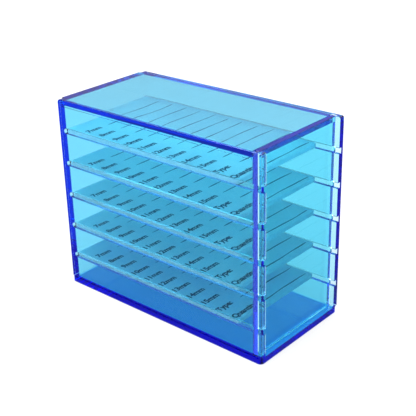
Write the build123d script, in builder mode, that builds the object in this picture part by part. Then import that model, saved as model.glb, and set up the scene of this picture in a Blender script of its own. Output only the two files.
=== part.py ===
from build123d import *
import os

os.makedirs("parts", exist_ok=True)

# Five-tray acrylic organizer box. Millimetres, +Z up, origin at the centre of
# the footprint on the underside. +X points to the lift-out end door, -Y is the
# front.

# ---- driving dimensions -----------------------------------------------------
LENGTH = 156.0            # overall, along X
DEPTH = 75.5              # overall, along Y
HEIGHT = 126.0            # overall, along Z

WALL = 4.0                # case sheet thickness
DOOR_T = 3.0              # end door sheet thickness
TRAY_T = 2.8              # tray sheet thickness
GLUE = 0.05               # bond line between two cemented panels

TRAYS = 5
SLOT_H = 3.6              # height of a tray groove, one cutter diameter
SLOT_DEPTH = 2.1          # depth of every groove into a side wall
SLOT_FIRST_Z = 18.8       # underside of the lowest tray groove
SLOT_PITCH = 21.3         # from one tray groove to the next
SLOT_OVERRUN = 1.0        # groove run-on past the inside of the closed end

DOOR_SLOT_W = 3.4         # width of the door's upright grooves
LIP = 3.25                # wall left outside the door grooves
DOOR_CLEAR = 0.1          # gap under the door and at its top
DOOR_CLEAR_Y = 0.3        # gap between the door's side edge and its groove
TRAY_GAP_FRONT = 1.5      # the loose trays lie pushed back: gap in the front groove
TRAY_GAP_BACK = 0.3       # and in the back groove
TRAY_REST = 0.05          # film of air under a tray lying in its groove
TRAY_END_X = 60.0         # door-side end of the trays, from the centre

FOOT_R_DOOR = 2.75        # plan radius of the base plate at the door end
FOOT_R_CLOSED = 1.2       # plan radius of the base plate at the closed end
HORN_R_CLOSED = 2.2       # side wall's top corner at the closed end
HORN_R_DOOR = 1.2         # side wall's top corner at the door end
DOOR_R = 1.0              # door corner radius
TRAY_R = 1.6              # tray corner radius
EDGE = 0.2                # broken edge of every sheet

# ---- derived dimensions -----------------------------------------------------
X0 = -LENGTH / 2
X1 = LENGTH / 2
Y_IN = DEPTH / 2 - WALL                   # inner face of a side wall
Y_SLOT = Y_IN + SLOT_DEPTH                # bottom of a groove
Z_WALL = WALL + GLUE                      # underside of the standing panels
Z_TOP = HEIGHT - WALL                     # underside of the top panel
SLOT_X1 = X1 - LIP                        # door groove, outer side
SLOT_X0 = SLOT_X1 - DOOR_SLOT_W           # door groove, inner side
DOOR_X0 = SLOT_X0 + (DOOR_SLOT_W - DOOR_T) / 2
SLOT_Z = [SLOT_FIRST_Z + k * SLOT_PITCH for k in range(TRAYS)]

# Outline of a side wall, seen from the front. The top edge drops by one sheet
# between the closed end and the door groove, where the top panel lies on it.
WALL_OUTLINE = [
    (X0, Z_WALL),
    (X1, Z_WALL),
    (X1, HEIGHT),
    (SLOT_X0, HEIGHT),
    (SLOT_X0, Z_TOP - GLUE),
    (X0 + WALL, Z_TOP - GLUE),
    (X0 + WALL, HEIGHT),
    (X0, HEIGHT),
]
GROOVE_X0 = X0 + WALL - SLOT_OVERRUN + SLOT_H / 2   # centre of a groove's round end

# ---- base plate -------------------------------------------------------------
with BuildPart() as bottom_panel:
    with BuildSketch() as foot:
        Rectangle(LENGTH, DEPTH)
        fillet(foot.vertices().group_by(Axis.X)[-1], radius=FOOT_R_DOOR)
        fillet(foot.vertices().group_by(Axis.X)[0], radius=FOOT_R_CLOSED)
    extrude(amount=WALL)
    chamfer(bottom_panel.faces().sort_by(Axis.Z)[0].edges(), length=EDGE)
    chamfer(bottom_panel.faces().sort_by(Axis.Z)[-1].edges(), length=EDGE)
bottom_panel.part.label = "bottom_panel"
export_step(bottom_panel.part, "parts/bottom_panel.step")

# ---- front wall -------------------------------------------------------------
# Plane.XZ looks along +Y with its normal towards -Y, the front. In its sketches
# the local Y runs up.
with BuildPart() as front_panel:
    with BuildSketch(Plane.XZ.offset(Y_IN)) as front_face:
        with BuildLine():
            Polyline(WALL_OUTLINE, close=True)
        make_face()
        fillet(
            front_face.vertices().group_by(Axis.Y)[-1].sort_by(Axis.X)[0],
            radius=HORN_R_CLOSED,
        )
        fillet(
            front_face.vertices().group_by(Axis.Y)[-1].sort_by(Axis.X)[-1],
            radius=HORN_R_DOOR,
        )
    extrude(amount=WALL)
    # broken edge round the outer face
    chamfer(front_panel.faces().sort_by(Axis.Y)[0].edges(), length=EDGE)
    # tray grooves: round at the closed end, run out through the lip
    with BuildSketch(Plane.XZ.offset(Y_IN)):
        for z in SLOT_Z:
            with Locations((GROOVE_X0, z + SLOT_H / 2)):
                Circle(SLOT_H / 2)
            with Locations((GROOVE_X0, z)):
                Rectangle(X1 + 1 - GROOVE_X0, SLOT_H, align=(Align.MIN, Align.MIN))
    extrude(amount=SLOT_DEPTH, mode=Mode.SUBTRACT)
    # upright door groove, open at the top
    with BuildSketch(Plane.XZ.offset(Y_IN)):
        with Locations((SLOT_X0, 0)):
            Rectangle(DOOR_SLOT_W, HEIGHT + 1, align=(Align.MIN, Align.MIN))
    extrude(amount=SLOT_DEPTH, mode=Mode.SUBTRACT)
front_panel.part.label = "front_panel"
export_step(front_panel.part, "parts/front_panel.step")

# ---- back wall, the front wall's mirror image ---------------------------------
with BuildPart() as back_panel:
    with BuildSketch(Plane.XZ.offset(-Y_IN)) as back_face:
        with BuildLine():
            Polyline(WALL_OUTLINE, close=True)
        make_face()
        fillet(
            back_face.vertices().group_by(Axis.Y)[-1].sort_by(Axis.X)[0],
            radius=HORN_R_CLOSED,
        )
        fillet(
            back_face.vertices().group_by(Axis.Y)[-1].sort_by(Axis.X)[-1],
            radius=HORN_R_DOOR,
        )
    extrude(amount=-WALL)
    chamfer(back_panel.faces().sort_by(Axis.Y)[-1].edges(), length=EDGE)
    with BuildSketch(Plane.XZ.offset(-Y_IN)):
        for z in SLOT_Z:
            with Locations((GROOVE_X0, z + SLOT_H / 2)):
                Circle(SLOT_H / 2)
            with Locations((GROOVE_X0, z)):
                Rectangle(X1 + 1 - GROOVE_X0, SLOT_H, align=(Align.MIN, Align.MIN))
    extrude(amount=-SLOT_DEPTH, mode=Mode.SUBTRACT)
    with BuildSketch(Plane.XZ.offset(-Y_IN)):
        with Locations((SLOT_X0, 0)):
            Rectangle(DOOR_SLOT_W, HEIGHT + 1, align=(Align.MIN, Align.MIN))
    extrude(amount=-SLOT_DEPTH, mode=Mode.SUBTRACT)
back_panel.part.label = "back_panel"
export_step(back_panel.part, "parts/back_panel.step")

# ---- closed end, between the side walls ---------------------------------------
with BuildPart() as left_panel:
    with BuildSketch(Plane.YZ.offset(X0)):
        with Locations((0, Z_WALL)):
            Rectangle(2 * (Y_IN - GLUE), HEIGHT - Z_WALL, align=(Align.CENTER, Align.MIN))
    extrude(amount=WALL)
    chamfer(left_panel.faces().sort_by(Axis.X)[0].edges().group_by(Axis.Z)[-1], length=EDGE)
left_panel.part.label = "left_panel"
export_step(left_panel.part, "parts/left_panel.step")

# ---- top, lying on the side walls between the closed end and the door -----------
with BuildPart() as top_panel:
    with BuildSketch(Plane.XY.offset(Z_TOP)):
        with Locations((X0 + WALL + GLUE, 0)):
            Rectangle(
                SLOT_X0 - GLUE - (X0 + WALL + GLUE), DEPTH,
                align=(Align.MIN, Align.CENTER),
            )
    extrude(amount=WALL)
    chamfer(
        top_panel.edges().filter_by(Axis.X).group_by(Axis.Z)[-1], length=EDGE
    )
top_panel.part.label = "top_panel"
export_step(top_panel.part, "parts/top_panel.step")

# ---- lift-out end door ----------------------------------------------------------
with BuildPart() as end_door:
    with BuildSketch(Plane.YZ.offset(DOOR_X0)) as door_face:
        with Locations((0, WALL + DOOR_CLEAR)):
            Rectangle(
                2 * (Y_SLOT - DOOR_CLEAR_Y), HEIGHT - WALL - 2 * DOOR_CLEAR,
                align=(Align.CENTER, Align.MIN),
            )
        fillet(door_face.vertices(), radius=DOOR_R)
    extrude(amount=DOOR_T)
    chamfer(end_door.faces().sort_by(Axis.X)[0].edges(), length=EDGE)
    chamfer(end_door.faces().sort_by(Axis.X)[-1].edges(), length=EDGE)
end_door.part.label = "end_door"
export_step(end_door.part, "parts/end_door.step")

# ---- five slide-in trays ----------------------------------------------------------
TRAY_X0 = X0 + WALL + 0.2
TRAY_Y0 = -Y_SLOT + TRAY_GAP_FRONT
TRAY_Y1 = Y_SLOT - TRAY_GAP_BACK
for k in range(TRAYS):
    with BuildPart() as tray:
        with BuildSketch(Plane.XY.offset(SLOT_Z[k] + TRAY_REST)):
            with Locations(((TRAY_X0 + TRAY_END_X) / 2, (TRAY_Y0 + TRAY_Y1) / 2)):
                RectangleRounded(TRAY_END_X - TRAY_X0, TRAY_Y1 - TRAY_Y0, TRAY_R)
        extrude(amount=TRAY_T)
        chamfer(tray.faces().sort_by(Axis.Z)[0].edges(), length=EDGE)
        chamfer(tray.faces().sort_by(Axis.Z)[-1].edges(), length=EDGE)
    tray.part.label = f"tray_{k + 1}"
    export_step(tray.part, f"parts/tray_{k + 1}.step")
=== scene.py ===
import math
import random

import bmesh
import bpy
from mathutils import Matrix, Vector


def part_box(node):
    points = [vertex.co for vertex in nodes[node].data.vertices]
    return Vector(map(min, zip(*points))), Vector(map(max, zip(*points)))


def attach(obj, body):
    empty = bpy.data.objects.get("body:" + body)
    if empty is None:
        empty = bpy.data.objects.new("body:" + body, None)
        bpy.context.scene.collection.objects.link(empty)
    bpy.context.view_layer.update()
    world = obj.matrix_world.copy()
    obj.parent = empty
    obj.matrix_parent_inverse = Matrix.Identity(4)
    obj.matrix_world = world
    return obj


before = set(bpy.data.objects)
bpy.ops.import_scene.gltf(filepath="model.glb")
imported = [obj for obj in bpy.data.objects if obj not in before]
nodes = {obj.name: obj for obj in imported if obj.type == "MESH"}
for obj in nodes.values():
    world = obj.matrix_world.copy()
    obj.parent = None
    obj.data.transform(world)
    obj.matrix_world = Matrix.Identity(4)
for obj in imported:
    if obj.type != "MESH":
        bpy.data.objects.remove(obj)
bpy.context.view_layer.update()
scene = bpy.context.scene

# ---------------------------------------------------------------- camera
cam_data = bpy.data.cameras.new("camera")
cam = bpy.data.objects.new("camera", cam_data)
scene.collection.objects.link(cam)
right = Vector((0.740928, 0.670675, -0.034966))
up = Vector((-0.247112, 0.320669, 0.914389))
back = right.cross(up)
cam.matrix_world = Matrix.Translation((0.336356, -0.376685, 0.291571)) @ Matrix(
    (right, up, back)
).transposed().to_4x4()
cam_data.lens = 78.574
cam_data.sensor_width = 36.0
cam_data.shift_x = 0.0708
cam_data.shift_y = -0.0266
cam_data.clip_start = 0.01
cam_data.clip_end = 20.0
scene.camera = cam

# A ray that enters the cut edge of a clear sheet is mirrored between the
# sheet's faces many times before it gets out at the far edge.
scene.cycles.max_bounces = 96
scene.cycles.transmission_bounces = 96
scene.cycles.glossy_bounces = 80
scene.cycles.diffuse_bounces = 4
scene.cycles.transparent_max_bounces = 128
scene.view_settings.view_transform = "Standard"

# ---------------------------------------------------------------- light
# A broad overhead softbox: the sky is bright above and falls off to the sides.
WORLD_BELOW = 0.20
WORLD_LOW = 0.48
WORLD_HIGH = 6.7
world = bpy.data.worlds.new("studio")
scene.world = world
world.use_nodes = True
bg = world.node_tree.nodes["Background"]
bg.inputs["Color"].default_value = (1.0, 1.0, 1.0, 1.0)
wt = world.node_tree
w_tc = wt.nodes.new("ShaderNodeTexCoord")
w_sep = wt.nodes.new("ShaderNodeSeparateXYZ")
w_pow = wt.nodes.new("ShaderNodeMath")
w_pow.operation = "POWER"
w_pow.use_clamp = True
w_pow.inputs[1].default_value = 4.0
w_map = wt.nodes.new("ShaderNodeMapRange")
w_map.inputs["To Min"].default_value = WORLD_LOW
w_map.inputs["To Max"].default_value = WORLD_HIGH
wt.links.new(w_tc.outputs["Generated"], w_sep.inputs["Vector"])
w_max = wt.nodes.new("ShaderNodeMath")
w_max.operation = "MAXIMUM"
w_max.inputs[1].default_value = 0.0
wt.links.new(w_sep.outputs["Z"], w_max.inputs[0])
wt.links.new(w_max.outputs[0], w_pow.inputs[0])
wt.links.new(w_pow.outputs[0], w_map.inputs["Value"])
w_above = wt.nodes.new("ShaderNodeMath")
w_above.operation = "GREATER_THAN"
w_above.inputs[1].default_value = 0.0
wt.links.new(w_sep.outputs["Z"], w_above.inputs[0])
w_side = wt.nodes.new("ShaderNodeMapRange")
w_side.inputs["To Min"].default_value = WORLD_BELOW
wt.links.new(w_above.outputs[0], w_side.inputs["Value"])
wt.links.new(w_map.outputs["Result"], w_side.inputs["To Max"])
wt.links.new(w_side.outputs["Result"], bg.inputs["Strength"])


def area(name, loc, target, size, energy, color=(1, 1, 1)):
    d = bpy.data.lights.new(name, "AREA")
    d.shape = "RECTANGLE"
    d.size, d.size_y = size
    d.energy = energy
    d.color = color
    o = bpy.data.objects.new(name, d)
    scene.collection.objects.link(o)
    o.location = loc
    o.rotation_euler = (Vector(target) - Vector(loc)).to_track_quat("-Z", "Y").to_euler()
    return o


area("key", (-0.15, -0.55, 1.1), (0, 0, 0.06), (1.2, 1.0), 9.0)
area("front", (0.25, -1.20, 0.75), (0, 0, 0.06), (1.6, 1.2), 17.0)
area("back", (0.25, 1.15, 1.05), (0, 0, 0.06), (1.4, 1.0), 14.0).visible_glossy = False
area("left", (-1.15, -0.45, 0.52), (0, 0, 0.05), (1.2, 0.9), 13.0).visible_glossy = False


# ---------------------------------------------------------------- node helpers
def new_material(name):
    m = bpy.data.materials.new(name)
    m.use_nodes = True
    return m, m.node_tree, m.node_tree.nodes["Principled BSDF"]


def coords(nt, scale=(1, 1, 1), rot=(0, 0, 0)):
    tc = nt.nodes.new("ShaderNodeTexCoord")
    mp = nt.nodes.new("ShaderNodeMapping")
    mp.inputs["Scale"].default_value = scale
    mp.inputs["Rotation"].default_value = rot
    nt.links.new(tc.outputs["Object"], mp.inputs["Vector"])
    return mp.outputs["Vector"]


def noise(nt, vec, scale, detail=2.0, rough=0.5):
    n = nt.nodes.new("ShaderNodeTexNoise")
    n.inputs["Scale"].default_value = scale
    n.inputs["Detail"].default_value = detail
    n.inputs["Roughness"].default_value = rough
    nt.links.new(vec, n.inputs["Vector"])
    return n.outputs["Fac"]


def remap(nt, value, a, b, c, d):
    r = nt.nodes.new("ShaderNodeMapRange")
    r.clamp = True
    for k, v in zip(("From Min", "From Max", "To Min", "To Max"), (a, b, c, d)):
        r.inputs[k].default_value = v
    nt.links.new(value, r.inputs["Value"])
    return r.outputs["Result"]


def maths(nt, op, a, b):
    n = nt.nodes.new("ShaderNodeMath")
    n.operation = op
    for i, v in enumerate((a, b)):
        if isinstance(v, (int, float)):
            n.inputs[i].default_value = v
        else:
            nt.links.new(v, n.inputs[i])
    return n.outputs[0]


def bump(nt, height, distance, strength=1.0, normal=None):
    b = nt.nodes.new("ShaderNodeBump")
    b.inputs["Distance"].default_value = distance
    b.inputs["Strength"].default_value = strength
    nt.links.new(height, b.inputs["Height"])
    if normal is not None:
        nt.links.new(normal, b.inputs["Normal"])
    return b.outputs["Normal"]


# ---------------------------------------------------------------- clear blue sheet
TINT = (0.0, 0.795, 0.981, 1)
DENSITY = 192.0
# The end door is the same acrylic with a denser tint: painted shade, for the dimmer light behind it.
DOOR_TINT_PAINTED_SHADE = (0.0, 0.86, 0.989, 1)
DOOR_DENSITY_PAINTED_SHADE = 340.0
# The base plate is the same acrylic with a deeper, denser tint: painted shade, for the floor in the box's
# shadow beneath it.
BASE_TINT_PAINTED_SHADE = (0.0, 0.73, 0.9918, 1)
BASE_DENSITY_PAINTED_SHADE = 750.0


def within(nt, value, a, b):
    n = nt.nodes.new("ShaderNodeMath")
    n.operation = "COMPARE"
    nt.links.new(value, n.inputs[0])
    n.inputs[1].default_value = (a + b) / 2
    n.inputs[2].default_value = (b - a) / 2
    return n.outputs[0]


def seams(nt, geo):
    """1 where two panels are cemented face to face, so that light goes straight across."""
    sep = nt.nodes.new("ShaderNodeSeparateXYZ")
    nt.links.new(geo.outputs["Position"], sep.inputs["Vector"])
    x, z = sep.outputs["X"], sep.outputs["Z"]
    y = maths(nt, "ABSOLUTE", sep.outputs["Y"], 0.0)
    side = maths(nt, "GREATER_THAN", y, 0.03372)
    closed = maths(nt, "LESS_THAN", x, -0.07398)
    high = maths(nt, "GREATER_THAN", z, 0.12193)
    joints = [
        # side walls and closed end on the base plate
        maths(nt, "MULTIPLY", within(nt, z, 0.00398, 0.00407), maths(nt, "MAXIMUM", side, closed)),
        # the fillet of cement in the notch between the side walls and the base plate
        maths(nt, "MULTIPLY", within(nt, z, 0.00375, 0.00430), maths(nt, "GREATER_THAN", y, 0.03752)),
        # top on the side walls
        maths(nt, "MULTIPLY", within(nt, z, 0.12193, 0.12202),
              maths(nt, "MULTIPLY", side, within(nt, x, -0.07402, 0.07132))),
        # top against the closed end
        maths(nt, "MULTIPLY", within(nt, x, -0.07402, -0.07393), high),
        # closed end between the side walls
        maths(nt, "MULTIPLY", within(nt, y, 0.03368, 0.03377), closed),
        # top against the side walls' raised ends at the door
        maths(nt, "MULTIPLY", within(nt, x, 0.07128, 0.07137), maths(nt, "MULTIPLY", side, high)),
    ]
    out = joints[0]
    for j in joints[1:]:
        out = maths(nt, "MAXIMUM", out, j)
    return out


def sheet(axis, name="acrylic_", tint=TINT, density=DENSITY, sawn=0.02):
    """Clear tinted acrylic, one material for a whole panel whose thickness runs along `axis`.

    The cast faces are polished, very slightly wavy and hairline-scratched; the laser-cut
    and milled faces are satin, with fine striations through the sheet's thickness.
    """
    m, nt, b = new_material(name + axis)
    b.inputs["Base Color"].default_value = (1.0, 0.966, 0.955, 1)
    b.inputs["Transmission Weight"].default_value = 1.0
    b.inputs["IOR"].default_value = 1.49
    b.inputs["Specular IOR Level"].default_value = 0.25
    v = nt.nodes.new("ShaderNodeVolumeAbsorption")
    v.inputs["Color"].default_value = tint
    v.inputs["Density"].default_value = density
    nt.links.new(v.outputs["Volume"], nt.nodes["Material Output"].inputs["Volume"])

    geo = nt.nodes.new("ShaderNodeNewGeometry")
    sep = nt.nodes.new("ShaderNodeSeparateXYZ")
    nt.links.new(geo.outputs["True Normal"], sep.inputs["Vector"])
    along = maths(nt, "ABSOLUTE", sep.outputs[axis.upper()], 0.0)
    face = maths(nt, "GREATER_THAN", along, 0.9)
    edge = maths(nt, "SUBTRACT", 1.0, face)

    wave = noise(nt, coords(nt), 22.0, 1.0)
    n1 = bump(nt, wave, 0.00022)
    nt.links.new(face, n1.node.inputs["Strength"])
    scale = [2600.0, 2600.0, 2600.0]
    scale["xyz".index(axis)] = 90.0
    line = noise(nt, coords(nt, tuple(scale)), 1.0, 2.0, 0.6)
    n2 = bump(nt, line, 0.000004, normal=n1)
    nt.links.new(edge, n2.node.inputs["Strength"])
    nt.links.new(n2, b.inputs["Normal"])

    hair = noise(nt, coords(nt, (900, 60, 900), (0.3, 0.2, 0.5)), 1.0, 3.0, 0.6)
    hair2 = noise(nt, coords(nt, (70, 1000, 70), (0.1, 0.4, -0.4)), 1.0, 3.0, 0.6)
    s = maths(nt, "MAXIMUM", remap(nt, hair, 0.70, 0.78, 0, 1), remap(nt, hair2, 0.71, 0.79, 0, 1))
    worn = maths(nt, "MULTIPLY", maths(nt, "MULTIPLY", s, face), 0.10)
    soft = noise(nt, coords(nt), 160.0, 2.0)
    cut = maths(nt, "MULTIPLY", remap(nt, soft, 0.3, 0.7, 0.0, sawn), edge)
    nt.links.new(maths(nt, "ADD", worn, cut), b.inputs["Roughness"])
    nt.links.new(maths(nt, "SUBTRACT", 1.0, seams(nt, geo)), b.inputs["Alpha"])
    return m


acrylic = {a: sheet(a) for a in "xyz"}
# The end door's darker copy of the tint is painted shade, for the dimmer light behind it.
door_sheet_painted_shade = sheet("x", "door_sheet_painted_shade_", DOOR_TINT_PAINTED_SHADE, DOOR_DENSITY_PAINTED_SHADE)
# The base plate's deeper copy of the tint is painted shade, for the floor in the box's shadow beneath it.
base_sheet_painted_shade = sheet("z", "base_sheet_painted_shade_", BASE_TINT_PAINTED_SHADE, BASE_DENSITY_PAINTED_SHADE, 0.16)


# ---------------------------------------------------------------- white trays
def tray_face():
    m, nt, b = new_material("tray_satin")
    tone = noise(nt, coords(nt), 45.0, 4.0, 0.6)
    ramp = nt.nodes.new("ShaderNodeMix")
    ramp.data_type = "RGBA"
    ramp.inputs["A"].default_value = (0.66, 0.90, 0.94, 1)
    ramp.inputs["B"].default_value = (0.80, 0.98, 0.99, 1)
    grain = noise(nt, coords(nt), 620.0, 2.0, 0.6)
    spread = maths(nt, "MULTIPLY_ADD", grain, 0.5)
    nt.links.new(maths(nt, "MULTIPLY", tone, 0.5), spread.node.inputs[2])
    nt.links.new(remap(nt, spread, 0.36, 0.64, 0, 1), ramp.inputs["Factor"])
    nt.links.new(ramp.outputs["Result"], b.inputs["Base Color"])
    through = nt.nodes.new("ShaderNodeBsdfTranslucent")
    nt.links.new(ramp.outputs["Result"], through.inputs["Color"])
    mix = nt.nodes.new("ShaderNodeMixShader")
    mix.inputs[0].default_value = 0.76
    nt.links.new(b.outputs[0], mix.inputs[1])
    nt.links.new(through.outputs[0], mix.inputs[2])
    nt.links.new(mix.outputs[0], nt.nodes["Material Output"].inputs["Surface"])
    fine = noise(nt, coords(nt), 2200.0, 2.0, 0.6)
    nt.links.new(bump(nt, fine, 0.00001), b.inputs["Normal"])
    nt.links.new(remap(nt, tone, 0.3, 0.7, 0.42, 0.58), b.inputs["Roughness"])
    b.inputs["IOR"].default_value = 1.49
    return m


def tray_edge():
    m, nt, b = new_material("tray_cut")
    line = noise(nt, coords(nt, (2600, 2600, 90)), 1.0, 2.0, 0.6)
    ramp = nt.nodes.new("ShaderNodeMix")
    ramp.data_type = "RGBA"
    ramp.inputs["A"].default_value = (0.50, 0.72, 0.83, 1)
    ramp.inputs["B"].default_value = (0.64, 0.84, 0.92, 1)
    nt.links.new(remap(nt, line, 0.3, 0.7, 0, 1), ramp.inputs["Factor"])
    nt.links.new(ramp.outputs["Result"], b.inputs["Base Color"])
    through = nt.nodes.new("ShaderNodeBsdfTranslucent")
    nt.links.new(ramp.outputs["Result"], through.inputs["Color"])
    mix = nt.nodes.new("ShaderNodeMixShader")
    mix.inputs[0].default_value = 0.6
    nt.links.new(b.outputs[0], mix.inputs[1])
    nt.links.new(through.outputs[0], mix.inputs[2])
    nt.links.new(mix.outputs[0], nt.nodes["Material Output"].inputs["Surface"])
    nt.links.new(bump(nt, line, 0.000012), b.inputs["Normal"])
    b.inputs["Roughness"].default_value = 0.5
    b.inputs["Specular IOR Level"].default_value = 0.2
    b.inputs["IOR"].default_value = 1.49
    return m


tray_top = tray_face()
tray_cut = tray_edge()


def ink_material():
    m, nt, b = new_material("print_ink")
    tone = noise(nt, coords(nt), 900.0, 3.0, 0.6)
    ramp = nt.nodes.new("ShaderNodeMix")
    ramp.data_type = "RGBA"
    ramp.inputs["A"].default_value = (0.003, 0.006, 0.034, 1)
    ramp.inputs["B"].default_value = (0.010, 0.016, 0.072, 1)
    nt.links.new(remap(nt, tone, 0.3, 0.7, 0, 1), ramp.inputs["Factor"])
    nt.links.new(ramp.outputs["Result"], b.inputs["Base Color"])
    nt.links.new(remap(nt, tone, 0.3, 0.7, 0.45, 0.7), b.inputs["Roughness"])
    b.inputs["Specular IOR Level"].default_value = 0.12
    return m


ink = ink_material()

# ---------------------------------------------------------------- materials on the CAD nodes
# Each panel has one material all over: its tint is the volume inside it, and a ray may
# come in by one face and leave by another.
THICK = {
    "bottom_panel": "z", "top_panel": "z",
    "front_panel": "y", "back_panel": "y",
    "left_panel": "x", "end_door": "x",
}
for name, ob in nodes.items():
    me = ob.data
    me.materials.clear()
    if name in THICK:
        # The end door and the base plate take the darker copies of the tint: painted shade.
        own = {"bottom_panel": base_sheet_painted_shade, "end_door": door_sheet_painted_shade}
        me.materials.append(own.get(name, acrylic[THICK[name]]))
        for p in me.polygons:
            p.material_index = 0
    else:
        me.materials.append(tray_top)
        me.materials.append(tray_cut)
        for p in me.polygons:
            p.material_index = 0 if abs(p.normal.z) > 0.9 else 1

# ---------------------------------------------------------------- print on the trays
COLUMNS = 11
COL_X0 = -0.0575
COL_STEP = 0.0115
LABEL_END_Y = -0.0188
LINE_Y0 = -0.0128
LINE_Y1 = 0.0330
LETTER = 0.0055
WORDS = [f"{n}mm" for n in range(7, 16)] + ["Type:", "Quantity:"]


def letters(text):
    """The flat outline of a word as a thin closed mesh, reading along +X from 0, and its length."""
    cu = bpy.data.curves.new("word", "FONT")
    cu.body = text
    cu.size = LETTER
    cu.offset = 0.00021
    cu.extrude = 0.00002
    cu.resolution_u = 3
    ob = bpy.data.objects.new("word", cu)
    scene.collection.objects.link(ob)
    dg = bpy.context.evaluated_depsgraph_get()
    me = bpy.data.meshes.new_from_object(ob.evaluated_get(dg))
    bpy.data.objects.remove(ob)
    bpy.data.curves.remove(cu)
    xs = [v.co.x for v in me.vertices]
    return me, min(xs), max(xs)


def line_strip(bm, x, y0, y1, z, rng):
    """A hand-ruled line: a thin strip that wavers slightly in place and width."""
    n = 22
    amp, ph, ph2 = rng.uniform(0.00012, 0.0003), rng.uniform(0, 6.28), rng.uniform(0, 6.28)
    rings = []
    for i in range(n + 1):
        t = i / n
        y = y0 + (y1 - y0) * t
        dx = amp * math.sin(5.2 * t + ph) + 0.4 * amp * math.sin(13.0 * t + ph2)
        w = 0.00038 * (1 + 0.22 * math.sin(9.0 * t + ph)) * min(1.0, 0.35 + 9 * min(t, 1 - t))
        rings.append([
            bm.verts.new((x + dx - w, y, z - 0.00001)), bm.verts.new((x + dx + w, y, z - 0.00001)),
            bm.verts.new((x + dx + w, y, z + 0.00003)), bm.verts.new((x + dx - w, y, z + 0.00003)),
        ])
    for a, b in zip(rings, rings[1:]):
        for i in range(4):
            j = (i + 1) % 4
            bm.faces.new((a[i], a[j], b[j], b[i]))
    bm.faces.new(rings[0][::-1])
    bm.faces.new(rings[-1])


word_meshes = [letters(w) for w in WORDS]
for k in range(1, 6):
    rng = random.Random(40 + k)
    lo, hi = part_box(f"tray_{k}")
    z = hi[2]
    bm = bmesh.new()
    for j, (wm, a, b) in enumerate(word_meshes):
        x = COL_X0 + COL_STEP * j + rng.uniform(-0.0002, 0.0002)
        start = -0.0330 if j >= 9 else LABEL_END_Y - (b - a)
        turn = Matrix.Rotation(math.pi / 2 + rng.uniform(-0.012, 0.012), 4, "Z")
        place = Matrix.Translation((x, start, z + 0.00001)) @ turn @ Matrix.Translation((-a, 0, 0))
        first = len(bm.verts)
        bm.from_mesh(wm)
        bm.verts.ensure_lookup_table()
        for v in bm.verts[first:]:
            v.co = place @ v.co
        y0 = LINE_Y0 if j < 10 else start + (b - a) + 0.0025
        line_strip(
            bm, x - 0.0012 + rng.uniform(-0.0003, 0.0003), y0 + rng.uniform(-0.0006, 0.0006),
            LINE_Y1 + rng.uniform(-0.0010, 0.0006), z, rng,
        )
    bmesh.ops.remove_doubles(bm, verts=bm.verts, dist=1e-7)
    bmesh.ops.recalc_face_normals(bm, faces=bm.faces)
    me = bpy.data.meshes.new(f"tray_{k}_print")
    bm.to_mesh(me)
    bm.free()
    ob = bpy.data.objects.new(f"tray_{k}_print", me)
    scene.collection.objects.link(ob)
    me.materials.append(ink)
    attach(ob, f"tray_{k}_body")

# ---------------------------------------------------------------- floor
mesh = bpy.data.meshes.new("floor")
s = 3.0
mesh.from_pydata([(-s, -s, -0.0003), (s, -s, -0.0003), (s, s, -0.0003), (-s, s, -0.0003)], [], [(0, 1, 2, 3)])
floor = bpy.data.objects.new("floor", mesh)
scene.collection.objects.link(floor)
fm, fnt, fb = new_material("floor")
fb.inputs["Base Color"].default_value = (0.16, 0.16, 0.16, 1)
fb.inputs["Roughness"].default_value = 0.9
fb.inputs["Specular IOR Level"].default_value = 0.1
fb.inputs["Emission Color"].default_value = (1, 1, 1, 1)
fb.inputs["Emission Strength"].default_value = 0.63
mesh.materials.append(fm)
# The panels' mirror image of the floor would veil their colour.
floor.visible_glossy = False
